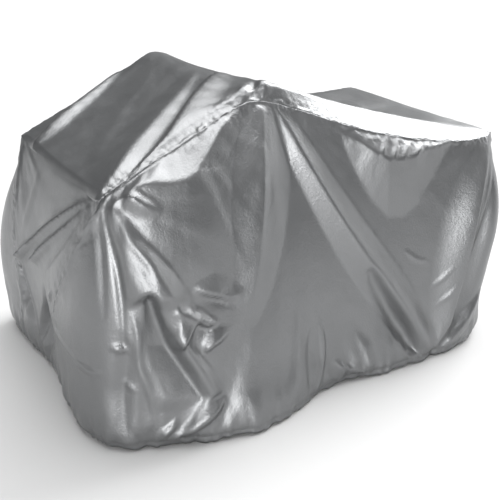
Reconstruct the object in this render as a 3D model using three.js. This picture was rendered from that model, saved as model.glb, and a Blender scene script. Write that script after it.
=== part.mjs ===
// All-terrain vehicle cover: three panels of thin coated cloth, sewn into a fitted hood that
// hangs from the racks and the handlebar of the vehicle it hides, down to an elastic hem.
// Millimetres. +X runs to the rear, +Y to the far side, +Z up; the floor is z = 0.
import * as THREE from 'three';

// Driving dimensions
const CLOTH = 2; // thickness of the cloth
const SEAM_GAP = 0.36; // clear gap between two panels along a seam
const HEM_HEIGHT = 8; // mean height of the hem above the floor
const HEM_WAVE = 5; // how far the hem rises and dips
const BULGE = 14; // how far the cloth bellies out above the gathered hem
const BULGE_TOP = 260; // height at which that belly ends
const ROWS_DOWN = 20; // grid rows from the shoulder seam to the hem
const ROWS_ALONG = 50; // grid rows from the front rack edge to the rear one
const COLUMNS_ACROSS = 12; // grid columns of the centre panel

// The sections: one row for each station along the vehicle, from the front rack's edge to the rear
// one. x is the near and far end of the station. Each shoulder seam is [y, z]. The ridge that the
// cloth makes above a seam is [y, z]. roof gives the height at the three columns between the ridges.
// Each side's skirt is [x, y] at two thirds of the seam's height, at one third, and at the hem.
// round is how softly the cloth bends over the station, from 0, a crease, to 0.5.
const SECTIONS = [
  { name: 'front rack edge', x: [-785, -785], round: 0.3,
    near: { seam: [-449, 845], ridge: [-422, 849], skirt: [[-888, -302], [-888, -90], [-862, -70]] },
    roof: [844, 840, 844],
    far: { seam: [449, 845], ridge: [422, 849], skirt: [[-890, 335], [-906, 280], [-890, 340]] } },
  { name: 'front fender', x: [-728, -728], round: 0.5,
    near: { seam: [-439, 873], ridge: [-405, 880], skirt: [[-855, -480], [-918, -335], [-904, -330]] },
    roof: [870, 864, 870],
    far: { seam: [450, 872], ridge: [420, 880], skirt: [[-890, 505], [-945, 520], [-900, 480]] } },
  { name: 'front tyre corner', x: [-623, -623], round: 0.5,
    near: { seam: [-424, 920], ridge: [-380, 931], skirt: [[-760, -556], [-855, -568], [-848, -555]] },
    roof: [920, 912, 922],
    far: { seam: [448, 922], ridge: [415, 934], skirt: [[-800, 590], [-872, 620], [-840, 575]] } },
  { name: 'front tyre', x: [-478, -478], round: 0.5,
    near: { seam: [-407, 972], ridge: [-350, 990], skirt: [[-583, -565], [-653, -616], [-640, -624]] },
    roof: [986, 980, 990],
    far: { seam: [446, 985], ridge: [412, 1002], skirt: [[-583, 572], [-653, 612], [-650, 625]] } },
  { name: 'upper slope', x: [-338, -348], round: 0.5,
    near: { seam: [-385, 1035], ridge: [-345, 1058], skirt: [[-403, -545], [-463, -635], [-470, -696]] },
    roof: [1052, 1048, 1058],
    far: { seam: [446, 1050], ridge: [414, 1072], skirt: [[-403, 560], [-463, 632], [-470, 690]] } },
  { name: 'handlebar front', x: [-222, -238], round: 0.4,
    near: { seam: [-372, 1074], ridge: [-340, 1108], skirt: [[-228, -505], [-265, -622], [-295, -708]] },
    roof: [1106, 1112, 1124],
    far: { seam: [448, 1084], ridge: [420, 1142], skirt: [[-228, 545], [-265, 640], [-295, 704]] } },
  { name: 'handlebar rear', x: [-125, -165], round: 0.4,
    near: { seam: [-377, 1058], ridge: [-352, 1130], skirt: [[-113, -500], [-125, -592], [-140, -640]] },
    roof: [1124, 1116, 1112],
    far: { seam: [452, 1060], ridge: [426, 1128], skirt: [[-113, 545], [-125, 625], [-140, 672]] } },
  { name: 'tank', x: [37, 37], round: 0.5,
    near: { seam: [-408, 998], ridge: [-335, 1066], skirt: [[52, -505], [54, -570], [40, -590]] },
    roof: [955, 902, 895],
    far: { seam: [460, 925], ridge: [440, 955], skirt: [[52, 545], [54, 605], [40, 632]] } },
  { name: 'seat', x: [237, 237], round: 0.5,
    near: { seam: [-444, 925], ridge: [-336, 1006], skirt: [[237, -522], [242, -584], [237, -640]] },
    roof: [884, 848, 844],
    far: { seam: [466, 850], ridge: [442, 884], skirt: [[237, 545], [242, 602], [237, 642]] } },
  { name: 'rear rack front', x: [457, 457], round: 0.5,
    near: { seam: [-475, 872], ridge: [-356, 944], skirt: [[452, -545], [457, -600], [457, -630]] },
    roof: [870, 854, 856],
    far: { seam: [468, 842], ridge: [446, 870], skirt: [[452, 550], [457, 600], [457, 624]] } },
  { name: 'rear tyre', x: [667, 667], round: 0.5,
    near: { seam: [-497, 841], ridge: [-390, 892], skirt: [[652, -575], [647, -610], [640, -628]] },
    roof: [868, 860, 866],
    far: { seam: [468, 848], ridge: [448, 876], skirt: [[652, 570], [647, 608], [640, 618]] } },
  { name: 'rear tyre corner', x: [797, 797], round: 0.5,
    near: { seam: [-492, 843], ridge: [-428, 864], skirt: [[838, -622], [820, -600], [790, -572]] },
    roof: [866, 864, 872],
    far: { seam: [464, 864], ridge: [442, 878], skirt: [[830, 590], [820, 600], [780, 562]] } },
  { name: 'rear rack edge', x: [857, 857], round: 0.3,
    near: { seam: [-461, 848], ridge: [-436, 853], skirt: [[905, -460], [900, -360], [868, -330]] },
    roof: [857, 862, 872],
    far: { seam: [455, 875], ridge: [430, 879], skirt: [[905, 430], [900, 350], [868, 330]] } },
];

// The front and rear ends of the centre panel: [x, y] of its five inner columns, from the near side
// to the far side, at two thirds of the rack's height, at one third, and at the hem.
const FRONT_END = [
  [[-892, -240], [-884, -130], [-870, 20], [-872, 170], [-884, 275]],
  [[-884, -45], [-880, 15], [-880, 90], [-888, 165], [-898, 225]],
  [[-858, -20], [-860, 60], [-868, 145], [-876, 225], [-884, 285]],
];
const REAR_END = [
  [[908, -390], [903, -210], [898, 0], [903, 200], [908, 370]],
  [[904, -290], [898, -150], [893, 0], [898, 150], [904, 290]],
  [[868, -270], [862, -140], [860, 0], [862, 140], [868, 270]],
];

// The main folds. A path point is its place on the panel and the height of the fold there, which is
// below zero for a trough: [x, z, height] on a side, [y, z, height] on the front or rear end, and
// [x, y, height] on the roof. widths are its reach to the left and to the right of the path, and
// crisp is 0 for a soft, round fold and 1 for a sharp crease.
const FOLDS = {
  near: [
    { name: 'rack corner to tyre', widths: [60, 45], crisp: 0.4,
      path: [[-768, 820, 6], [-737, 706, 18], [-697, 552, 30], [-690, 500, 4]] },
    { name: 'rack corner to footwell', widths: [70, 60], crisp: 0.5,
      path: [[-762, 835, 4], [-699, 687, 20], [-595, 518, 24], [-489, 388, 22], [-411, 150, 8]] },
    { name: 'shelf under the front seam', widths: [90, 230], crisp: 0.3,
      path: [[-700, 868, 8], [-610, 850, 34], [-510, 866, 48], [-435, 922, 44], [-370, 990, 18]] },
    { name: 'tyre crease', widths: [40, 40], crisp: 0.6,
      path: [[-782, 430, -6], [-775, 275, -20], [-777, 90, -12]] },
    { name: 'hollow behind the front tyre', widths: [60, 70], crisp: 0.1,
      path: [[-700, 420, -8], [-655, 320, -26], [-590, 235, -30], [-520, 150, -16]] },
    { name: 'lip of that hollow', widths: [40, 46], crisp: 0.5,
      path: [[-690, 40, 6], [-600, 110, 22], [-500, 165, 18]] },
    { name: 'footwell trough', widths: [60, 70], crisp: 0.2,
      path: [[-345, 480, -8], [-436, 240, -20], [-515, 60, -12]] },
    { name: 'handlebar drop', widths: [90, 40], crisp: 0.3,
      path: [[-205, 1030, 8], [-228, 900, 16], [-262, 720, 18], [-320, 500, 12], [-370, 300, 0]] },
    { name: 'handlebar to rear tyre', widths: [120, 70], crisp: 0.5,
      path: [[-105, 1040, 10], [-50, 893, 30], [80, 668, 44], [244, 422, 46], [440, 110, 22]] },
    { name: 'trough under it', widths: [50, 80], crisp: 0.3,
      path: [[120, 500, -6], [200, 375, -30], [310, 200, -34], [440, 40, -14]] },
    { name: 'rear rack corner drop', widths: [60, 60], crisp: 0.4,
      path: [[785, 800, 6], [690, 690, 24], [560, 500, 26], [500, 260, 12]] },
    { name: 'rear tyre groove', widths: [45, 50], crisp: 0.5,
      path: [[720, 560, -8], [670, 380, -26], [600, 180, -22], [520, 50, -8]] },
    { name: 'pocket under the rear seam', widths: [70, 160], crisp: 0.3,
      path: [[140, 905, 6], [240, 856, 24], [330, 816, 32], [430, 812, 28], [540, 826, 6]] },
  ],
  far: [
    { name: 'rack corner to tyre', widths: [60, 60], crisp: 0.4,
      path: [[-765, 815, 6], [-740, 640, 24], [-720, 420, 18], [-730, 150, 6]] },
    { name: 'rack corner to footwell', widths: [70, 80], crisp: 0.4,
      path: [[-750, 830, 6], [-640, 640, 24], [-500, 420, 26], [-400, 160, 8]] },
    { name: 'handlebar drop', widths: [70, 90], crisp: 0.3,
      path: [[-210, 1020, 8], [-240, 780, 22], [-260, 480, 26], [-240, 160, 10]] },
    { name: 'handlebar to rear tyre', widths: [80, 110], crisp: 0.4,
      path: [[-130, 1000, 8], [10, 760, 30], [200, 480, 36], [420, 120, 14]] },
    { name: 'trough under it', widths: [70, 60], crisp: 0.2,
      path: [[-20, 560, -6], [100, 380, -24], [250, 160, -16]] },
    { name: 'rear rack corner drop', widths: [60, 60], crisp: 0.4,
      path: [[800, 810, 6], [730, 620, 22], [640, 380, 22], [600, 120, 6]] },
    { name: 'rear rack to tyre', widths: [60, 60], crisp: 0.3,
      path: [[560, 800, 4], [500, 600, 18], [480, 350, 16], [500, 120, 4]] },
  ],
  front: [
    { name: 'corner to lamp', widths: [34, 40], crisp: 0.6,
      path: [[-360, 820, 4], [-173, 709, 12], [24, 583, 16], [235, 436, 26], [262, 418, 0]] },
    { name: 'corner to bumper', widths: [34, 40], crisp: 0.6,
      path: [[-374, 800, 4], [-224, 678, 12], [55, 484, 22], [80, 470, 0]] },
    { name: 'hollow over the far tyre', widths: [50, 60], crisp: 0.2,
      path: [[250, 400, -4], [285, 240, -20], [350, 60, -10]] },
    { name: 'hollow beside the corner seam', widths: [50, 60], crisp: 0.2,
      path: [[-20, 400, -4], [10, 240, -22], [60, 60, -10]] },
    { name: 'far corner drop', widths: [50, 50], crisp: 0.4,
      path: [[400, 800, 4], [370, 600, 16], [340, 460, 10]] },
  ],
  rear: [
    { name: 'near corner drop', widths: [60, 60], crisp: 0.4,
      path: [[-400, 800, 4], [-330, 600, 18], [-220, 360, 22], [-160, 100, 6]] },
    { name: 'far corner drop', widths: [60, 60], crisp: 0.4,
      path: [[400, 820, 4], [330, 640, 18], [250, 400, 20], [230, 120, 6]] },
    { name: 'middle hollow', widths: [110, 110], crisp: 0.1,
      path: [[20, 760, -4], [10, 500, -18], [0, 250, -16], [0, 80, -6]] },
  ],
  roof: [
    { name: 'bar to corner, upper streak', widths: [36, 44], crisp: 0.3,
      path: [[-225, 10, 4], [-437, -134, 13], [-620, -270, 14], [-755, -375, 5]] },
    { name: 'bar to corner, lower streak', widths: [44, 60], crisp: 0.3,
      path: [[-235, -148, 6], [-451, -286, 18], [-600, -375, 16], [-700, -410, 4]] },
    { name: 'seat hollow', widths: [90, 90], crisp: 0.1,
      path: [[20, 60, -6], [220, 80, -20], [420, 20, -6]] },
  ],
};

const LEVELS = 3; // spans between the seam and the hem
const SPANS_ACROSS = 6; // spans across the centre panel, from one seam to the other
const INNER_COLUMNS = [-200, 0, 200]; // y of the roof's three inner columns
const LAST = SECTIONS.length - 1;
const HALF_LENGTH = 900; // half the length and width that the belly and the hem's wave go by
const HALF_WIDTH = 650;
const SOFT = 0.5; // a corner rounded as far as it can be
const RIDGE_SOFTNESS = 0.28; // the ridges above the seams
const SIDE_FADE = 0.22; // spans below the shoulder seam over which a side's folds rise
const CORNER_FADE = 0.7; // spans from a corner seam over which they rise
const CENTRE_FADE = 0.9; // spans from a seam over which the centre panel's folds rise
const HEM_SHARE = 0.4; // the share of a side's folds that reaches the gathered hem
const HEM_REACH = 90; // height over the hem at which they are whole again
const STEP = 0.02; // spans to each side of a point over which its direction is measured

const mix = (a, b, f) => a.map((value, i) => value + (b[i] - value) * f);

// A point on a polyline whose corners are rounded by parabolas. The place is counted in knots, and
// softness(k) is the share of a span, at most 0.5, that the parabola takes on each side of knot k.
function roundedLine(knots, place, softness) {
  const last = knots.length - 1;
  const nearest = Math.min(last, Math.max(0, Math.round(place)));
  const reach = nearest > 0 && nearest < last ? softness(nearest) : 0;
  const off = place - nearest;
  if (Math.abs(off) < reach) {
    const before = mix(knots[nearest], knots[nearest - 1], reach);
    const after = mix(knots[nearest], knots[nearest + 1], reach);
    const f = (off + reach) / (2 * reach);
    return mix(mix(before, knots[nearest], f), mix(knots[nearest], after, f), f);
  }
  const span = Math.min(last - 1, Math.max(0, Math.floor(place)));
  return mix(knots[span], knots[span + 1], place - span);
}

// A skirt's four knots from the seam to the hem
function skirtKnots(section, side) {
  const [y, z] = section[side].seam;
  const x = section.x[side === 'near' ? 0 : 1];
  const below = section[side].skirt.map(([sx, sy], i) => {
    const f = (i + 1) / LEVELS;
    return [sx, sy, z + (HEM_HEIGHT - z) * f];
  });
  return [[x, y, z], ...below];
}

// The roof's seven knots across one section
function roofKnots(section) {
  const [nearX, farX] = section.x;
  const across = [
    section.near.seam, section.near.ridge,
    ...INNER_COLUMNS.map((y, i) => [y, section.roof[i]]),
    section.far.ridge, section.far.seam,
  ];
  const width = section.far.seam[0] - section.near.seam[0];
  return across.map(([y, z]) => [nearX + (farX - nearX) * (y - section.near.seam[0]) / width, y, z]);
}

// The centre panel's knots: rows from the front hem, over the roof, to the rear hem
function centreKnots() {
  const end = (section, inner) => {
    const near = skirtKnots(section, 'near');
    const far = skirtKnots(section, 'far');
    return inner.map((columns, i) => {
      const level = i + 1;
      const step = (far[level][2] - near[level][2]) / (columns.length + 1);
      const between = columns.map(([x, y], c) => [x, y, near[level][2] + step * (c + 1)]);
      return [near[level], ...between, far[level]];
    });
  };
  const front = end(SECTIONS[0], FRONT_END).reverse();
  return [...front, ...SECTIONS.map(roofKnots), ...end(SECTIONS[LAST], REAR_END)];
}

const CENTRE_KNOTS = centreKnots();
const SIDE_KNOTS = {
  near: SECTIONS.map((section) => skirtKnots(section, 'near')),
  far: SECTIONS.map((section) => skirtKnots(section, 'far')),
};

// How softly the centre panel bends over row k of its knots. At the corners, where the side panels
// meet it, the two rack edges are sharp.
function rowSoftness(k, column) {
  const station = k - LEVELS;
  if (station < 0 || station > LAST) return SOFT;
  if (station === 0 || station === LAST) {
    const inFromSeam = Math.min(column, SPANS_ACROSS - column);
    return SECTIONS[station].round * Math.min(1, inFromSeam);
  }
  return SECTIONS[station].round;
}

const smooth = (f) => {
  const c = Math.min(1, Math.max(0, f));
  return c * c * (3 - 2 * c);
};

// The height that a fold adds at a place on its panel
function foldHeight(fold, place) {
  let best = { off: Infinity, height: 0, left: true };
  for (let i = 0; i + 1 < fold.path.length; i += 1) {
    const [ax, ay, ah] = fold.path[i];
    const [bx, by, bh] = fold.path[i + 1];
    const [dx, dy] = [bx - ax, by - ay];
    const [px, py] = [place[0] - ax, place[1] - ay];
    const f = Math.min(1, Math.max(0, (px * dx + py * dy) / (dx * dx + dy * dy)));
    const off = Math.hypot(px - f * dx, py - f * dy);
    if (off < best.off) best = { off, height: ah + (bh - ah) * f, left: dx * py - dy * px > 0 };
  }
  const q = best.off / fold.widths[best.left ? 0 : 1];
  if (q >= 1) return 0;
  const soft = 0.5 + 0.5 * Math.cos(Math.PI * q);
  return best.height * (soft + ((1 - q) ** 2 - soft) * fold.crisp);
}

const foldsAt = (group, place) => FOLDS[group].reduce((sum, fold) => sum + foldHeight(fold, place), 0);

// The plain point on a panel, before its folds
function plainCentre(along, across) {
  const row = CENTRE_KNOTS[0].map((_, c) => {
    const knots = CENTRE_KNOTS.map((r) => r[c]);
    return roundedLine(knots, along, (k) => rowSoftness(k, c));
  });
  const ridge = (c) => c === 1 || c === SPANS_ACROSS - 1;
  return roundedLine(row, across, (c) => (ridge(c) ? RIDGE_SOFTNESS : SOFT));
}

function plainSide(side, station, level) {
  const column = SIDE_KNOTS[side][0].map((_, l) => {
    const knots = SIDE_KNOTS[side].map((r) => r[l]);
    return roundedLine(knots, station, (k) => (l === 0 ? SECTIONS[k].round : SOFT));
  });
  return roundedLine(column, level, () => SOFT);
}

// The cloth bellies out over the gathered hem, and the hem itself rises and dips. Both depend only
// on where the point is, so panels that meet at a seam stay together.
function hemShape([x, y, z]) {
  const out = new THREE.Vector2((x / HALF_LENGTH) ** 3, (y / HALF_WIDTH) ** 3).normalize();
  const f = Math.min(1, Math.max(0, (z - HEM_HEIGHT) / (BULGE_TOP - HEM_HEIGHT)));
  const belly = BULGE * Math.sin(Math.PI * Math.sqrt(f)) ** 2;
  const turn = Math.atan2(y, x);
  const wave = HEM_WAVE * (0.6 * Math.sin(9 * turn + 1) + 0.4 * Math.sin(17 * turn)) * (1 - f) ** 4;
  return [x + belly * out.x, y + belly * out.y, z + wave];
}

const vector = (p) => new THREE.Vector3(...p);

// A point moved along the surface's own outward direction by the folds that cross it
function folded(plain, u, v, height, outward) {
  const across = vector(plain(u + STEP, v)).sub(vector(plain(u - STEP, v)));
  const down = vector(plain(u, v + STEP)).sub(vector(plain(u, v - STEP)));
  const normal = across.cross(down).normalize().multiplyScalar(outward);
  const point = plain(u, v);
  return hemShape(vector(point).addScaledVector(normal, height(point)).toArray());
}

function sidePoint(side, station, level) {
  const corners = smooth(station / CORNER_FADE) * smooth((LAST - station) / CORNER_FADE);
  const fade = smooth(level / SIDE_FADE) * corners;
  const held = (z) => HEM_SHARE + (1 - HEM_SHARE) * smooth(z / HEM_REACH);
  const height = ([x, , z]) => fade * held(z) * foldsAt(side, [x, z]);
  return folded((u, v) => plainSide(side, u, v), station, level, height, side === 'near' ? -1 : 1);
}

function centrePoint(along, across) {
  const fade = smooth(Math.min(across, SPANS_ACROSS - across) / CENTRE_FADE);
  const height = ([x, y, z]) => {
    if (along < LEVELS) return fade * foldsAt('front', [y, z]);
    if (along > LEVELS + LAST) return fade * foldsAt('rear', [y, z]);
    return fade * foldsAt('roof', [x, y]);
  };
  return folded(plainCentre, along, across, height, 1);
}

// The place, in sections, at a share of the way from the front rack edge to the rear one. Each span
// counts by its length half way down the near side.
const SPAN_ENDS = SIDE_KNOTS.near.reduce((ends, knots, k) => {
  if (k === 0) return [0];
  const span = vector(knots[1]).distanceTo(vector(SIDE_KNOTS.near[k - 1][1]));
  return [...ends, ends[k - 1] + span];
}, []);

function stationAt(share) {
  const reach = share * SPAN_ENDS[LAST];
  const k = Math.max(1, SPAN_ENDS.findIndex((end) => end >= reach - 1e-9));
  return k - 1 + (reach - SPAN_ENDS[k - 1]) / (SPAN_ENDS[k] - SPAN_ENDS[k - 1]);
}

const range = (count) => Array.from({ length: count + 1 }, (_, i) => i / count);
const STATIONS = range(ROWS_ALONG).map(stationAt);
const DEPTHS = range(ROWS_DOWN).map((f) => f * LEVELS);

// A panel's outer face: a grid of points, with the outward direction at each
function grid(rows, columns, pointAt) {
  const points = rows.map((row) => columns.map((column) => vector(pointAt(row, column))));
  const directions = points.map((line, i) => line.map((_, j) => {
    const before = points[Math.max(0, i - 1)][j];
    const after = points[Math.min(rows.length - 1, i + 1)][j];
    const left = line[Math.max(0, j - 1)];
    const right = line[Math.min(columns.length - 1, j + 1)];
    return after.clone().sub(before).cross(right.clone().sub(left)).normalize();
  }));
  return { points, directions };
}

function turnOver(panel) {
  panel.directions.forEach((line) => line.forEach((direction) => direction.negate()));
}

const nearSide = grid(STATIONS, DEPTHS, (station, level) => sidePoint('near', station, level));
const farSide = grid(STATIONS, DEPTHS, (station, level) => sidePoint('far', station, level));
turnOver(nearSide);
const ALONG = [
  ...DEPTHS.map((depth) => LEVELS - depth).reverse(),
  ...STATIONS.slice(1, -1).map((station) => LEVELS + station),
  ...DEPTHS.map((depth) => LEVELS + LAST + depth),
];
const ACROSS = range(COLUMNS_ACROSS).map((f) => SPANS_ACROSS * f);
const centre = grid(ALONG, ACROSS, centrePoint);

// The seam of a side: its grid places from the front hem up the corner, along the shoulder and down
// to the rear hem, beside the centre panel's edge column
function seamPlaces(edgeColumn) {
  const lastStation = STATIONS.length - 1;
  const corner = DEPTHS.map((_, j) => j);
  const side = [
    ...corner.map((j) => [0, j]).reverse(),
    ...STATIONS.slice(1, -1).map((_, i) => [i + 1, 0]),
    ...corner.map((j) => [lastStation, j]),
  ];
  return side.map((place, i) => ({ side: place, centre: [i, edgeColumn] }));
}

// Parts the two edges of a seam by the gap and gives both one outward direction, evened out between
// neighbours so that the cloth's inner face doesn't twist at the corners
function sew(side, edgeColumn) {
  const places = seamPlaces(edgeColumn);
  const last = places.length - 1;
  const line = places.map(({ centre: [i, j] }) => centre.points[i][j].clone());
  const sums = places.map(({ side: [si, sj], centre: [ci, cj] }) =>
    side.directions[si][sj].clone().add(centre.directions[ci][cj]).normalize());
  places.forEach(({ side: [si, sj], centre: [ci, cj] }, i) => {
    const [before, after] = [Math.max(0, i - 1), Math.min(last, i + 1)];
    const shared = sums[i].clone().add(sums[before]).add(sums[after]).normalize();
    const run = line[after].clone().sub(line[before]);
    const apart = run.cross(shared).normalize().multiplyScalar(SEAM_GAP / 2);
    const inner = centre.points[ci][cj === 0 ? 1 : cj - 1];
    if (apart.dot(inner.clone().sub(line[i])) < 0) apart.negate();
    centre.points[ci][cj].copy(line[i]).add(apart);
    side.points[si][sj].copy(line[i]).sub(apart);
    centre.directions[ci][cj].copy(shared);
    side.directions[si][sj].copy(shared);
  });
}

sew(nearSide, 0);
sew(farSide, COLUMNS_ACROSS);

// A closed sheet: the outer face, the inner face one thickness below it, and the rim between them
function sheetMesh(name, panel, colour) {
  const { points, directions } = panel;
  const [rows, columns] = [points.length, points[0].length];
  const inward = (i, j) => points[i][j].clone().addScaledVector(directions[i][j], -CLOTH);
  const outer = points.flat();
  const inner = points.flatMap((line, i) => line.map((_, j) => inward(i, j)));
  const at = (i, j) => i * columns + j;
  const under = (i, j) => rows * columns + at(i, j);
  const faces = [];
  const quad = (a, b, c, d) => faces.push(a, b, c, a, c, d);
  for (let i = 0; i + 1 < rows; i += 1) {
    for (let j = 0; j + 1 < columns; j += 1) {
      quad(at(i, j), at(i + 1, j), at(i + 1, j + 1), at(i, j + 1));
      quad(under(i, j), under(i, j + 1), under(i + 1, j + 1), under(i + 1, j));
    }
  }
  const rim = (a, b) => quad(a, a + rows * columns, b + rows * columns, b);
  for (let i = 0; i + 1 < rows; i += 1) {
    rim(at(i, 0), at(i + 1, 0));
    rim(at(i + 1, columns - 1), at(i, columns - 1));
  }
  for (let j = 0; j + 1 < columns; j += 1) {
    rim(at(0, j + 1), at(0, j));
    rim(at(rows - 1, j), at(rows - 1, j + 1));
  }
  const geometry = new THREE.BufferGeometry();
  geometry.setAttribute('position', new THREE.Float32BufferAttribute(
    [...outer, ...inner].flatMap((p) => p.toArray()), 3));
  geometry.setIndex(faces);
  const first = directions[0][0];
  const [a, b, c] = faces.slice(0, 3).map((index) => outer[index]);
  const facing = b.clone().sub(a).cross(c.clone().sub(a)).dot(first);
  if (facing < 0) geometry.setIndex(faces.reverse());
  const cloth = new THREE.MeshStandardMaterial({ color: colour, roughness: 0.38, metalness: 0.55 });
  const mesh = new THREE.Mesh(geometry, cloth);
  mesh.name = name;
  return mesh;
}

const group = new THREE.Group();
group.add(sheetMesh('centre_panel', centre, 0xb9bcbe));
group.add(sheetMesh('near_side_panel', nearSide, 0xb4b7b9));
group.add(sheetMesh('far_side_panel', farSide, 0xb4b7b9));

export default group;
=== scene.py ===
"""A fitted all-terrain vehicle cover of silver coated cloth, in its draped shape. Each panel is a fine
sheet on its solid's form. Its folds, facets, gathered seams and elastic hem are given in real
sizes."""
import math

import bpy
import numpy as np
from bpy.props import FloatProperty, FloatVectorProperty, PointerProperty
from mathutils import Matrix, Vector


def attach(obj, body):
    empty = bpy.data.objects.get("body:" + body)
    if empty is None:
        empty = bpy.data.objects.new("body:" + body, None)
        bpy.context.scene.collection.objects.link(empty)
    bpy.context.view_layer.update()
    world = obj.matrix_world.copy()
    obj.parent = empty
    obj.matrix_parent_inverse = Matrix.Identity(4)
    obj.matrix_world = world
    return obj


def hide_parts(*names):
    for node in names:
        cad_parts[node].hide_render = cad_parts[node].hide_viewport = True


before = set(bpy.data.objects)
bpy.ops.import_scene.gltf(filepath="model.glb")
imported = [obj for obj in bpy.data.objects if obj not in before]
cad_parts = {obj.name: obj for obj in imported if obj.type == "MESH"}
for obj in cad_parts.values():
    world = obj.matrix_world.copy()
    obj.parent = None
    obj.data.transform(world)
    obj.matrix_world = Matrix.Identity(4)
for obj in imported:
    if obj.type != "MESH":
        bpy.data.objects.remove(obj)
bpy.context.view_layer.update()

bl_info = {
    "name": "All-terrain vehicle cover",
    "version": (1, 0, 0),
    "blender": (4, 5, 0),
    "location": "View3D > Sidebar > Cover",
    "description": "Builds a draped vehicle cover of coated cloth around its frame",
    "category": "Object",
}

MM = 0.001

# The flat size of a panel as it is cut, in metres, and its area in square metres
CENTRE_CUT = ((1.0, 3.6), 2.88)
SIDE_CUT = ((2.5, 1.15), 2.1)

# The cut, in millimetres, as in the frame. A section holds: x of its near and far end, how softly
# the cloth bends over it, the roof's height at three columns between the ridges, and for each side the
# shoulder seam [y, z], the ridge above it [y, z] and the skirt [x, y] at two thirds of the seam's
# height, at one third, and at the hem
SECTIONS = [dict(zip(("name", "x", "round", "roof", "near", "far"), row)) for row in (
    ("front rack edge", (-785, -785), 0.3, (844, 840, 844),
     ((-449, 845), (-422, 849), (-888, -302), (-888, -90), (-862, -70)),
     ((449, 845), (422, 849), (-890, 335), (-906, 280), (-890, 340))),
    ("front fender", (-728, -728), 0.5, (870, 864, 870),
     ((-439, 873), (-405, 880), (-855, -480), (-918, -335), (-904, -330)),
     ((450, 872), (420, 880), (-890, 505), (-945, 520), (-900, 480))),
    ("front tyre corner", (-623, -623), 0.5, (920, 912, 922),
     ((-424, 920), (-380, 931), (-760, -556), (-855, -568), (-848, -555)),
     ((448, 922), (415, 934), (-800, 590), (-872, 620), (-840, 575))),
    ("front tyre", (-478, -478), 0.5, (986, 980, 990),
     ((-407, 972), (-350, 990), (-583, -565), (-653, -616), (-640, -624)),
     ((446, 985), (412, 1002), (-583, 572), (-653, 612), (-650, 625))),
    ("upper slope", (-338, -348), 0.5, (1052, 1048, 1058),
     ((-385, 1035), (-345, 1058), (-403, -545), (-463, -635), (-470, -696)),
     ((446, 1050), (414, 1072), (-403, 560), (-463, 632), (-470, 690))),
    ("handlebar front", (-222, -238), 0.4, (1106, 1112, 1124),
     ((-372, 1074), (-340, 1108), (-228, -505), (-265, -622), (-295, -708)),
     ((448, 1084), (420, 1142), (-228, 545), (-265, 640), (-295, 704))),
    ("handlebar rear", (-125, -165), 0.4, (1124, 1116, 1112),
     ((-377, 1058), (-352, 1130), (-113, -500), (-125, -592), (-140, -640)),
     ((452, 1060), (426, 1128), (-113, 545), (-125, 625), (-140, 672))),
    ("tank", (37, 37), 0.5, (955, 902, 895),
     ((-408, 998), (-335, 1066), (52, -505), (54, -570), (40, -590)),
     ((460, 925), (440, 955), (52, 545), (54, 605), (40, 632))),
    ("seat", (237, 237), 0.5, (884, 848, 844),
     ((-444, 925), (-336, 1006), (237, -522), (242, -584), (237, -640)),
     ((466, 850), (442, 884), (237, 545), (242, 602), (237, 642))),
    ("rear rack front", (457, 457), 0.5, (870, 854, 856),
     ((-475, 872), (-356, 944), (452, -545), (457, -600), (457, -630)),
     ((468, 842), (446, 870), (452, 550), (457, 600), (457, 624))),
    ("rear tyre", (667, 667), 0.5, (868, 860, 866),
     ((-497, 841), (-390, 892), (652, -575), (647, -610), (640, -628)),
     ((468, 848), (448, 876), (652, 570), (647, 608), (640, 618))),
    ("rear tyre corner", (797, 797), 0.5, (866, 864, 872),
     ((-492, 843), (-428, 864), (838, -622), (820, -600), (790, -572)),
     ((464, 864), (442, 878), (830, 590), (820, 600), (780, 562))),
    ("rear rack edge", (857, 857), 0.3, (857, 862, 872),
     ((-461, 848), (-436, 853), (905, -460), (900, -360), (868, -330)),
     ((455, 875), (430, 879), (905, 430), (900, 350), (868, 330))),
)]

# The ends of the centre panel: [x, y] of its five inner columns, from the near side to the far one,
# at two thirds of the shoulder seams' height, at one third, and at the hem
FRONT_END = (
    ((-892, -240), (-884, -130), (-870, 20), (-872, 170), (-884, 275)),
    ((-884, -45), (-880, 15), (-880, 90), (-888, 165), (-898, 225)),
    ((-858, -20), (-860, 60), (-868, 145), (-876, 225), (-884, 285)),
)
REAR_END = (
    ((908, -390), (903, -210), (898, 0), (903, 200), (908, 370)),
    ((904, -290), (898, -150), (893, 0), (898, 150), (904, 290)),
    ((868, -270), (862, -140), (860, 0), (862, 140), (868, 270)),
)

# y of the roof's three columns between the ridges
INNER_COLUMNS = (-200, 0, 200)
# How many knots a skirt has below its shoulder seam
LEVELS = 3
LAST = len(SECTIONS) - 1
# How softly the cloth bends at a knot, and over the ridge above a shoulder seam
SOFT = 0.5
RIDGE_SOFTNESS = 0.28

# The hem: its height, how far it rises and dips, and its waves: how many go round, where each starts,
# and its share
HEM_HEIGHT = 8
HEM_WAVE = 5
HEM_WAVES = ((9, 1, 0.6), (17, 0, 0.4))
# How far the cloth bellies out over the hem, up to which height, and from a body of which half size
BULGE = 14
BULGE_TOP = 260
HALF_LENGTH = 900
HALF_WIDTH = 650


def fold(name, widths, crisp, *path):
    """A ridge, or a trough where its heights are negative: how wide and how crisp it is to the left
    and the right of its path, and the path's places with their heights."""
    return dict(name=name, widths=widths, crisp=crisp, path=path)


def net(name, *rows):
    """Flat facets between sharp creases: rows of corners with their heights. A corner without one is
    level with the cloth."""
    return dict(name=name, rows=np.array([[(*corner, 0)[:3] for corner in row] for row in rows], float))


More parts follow.
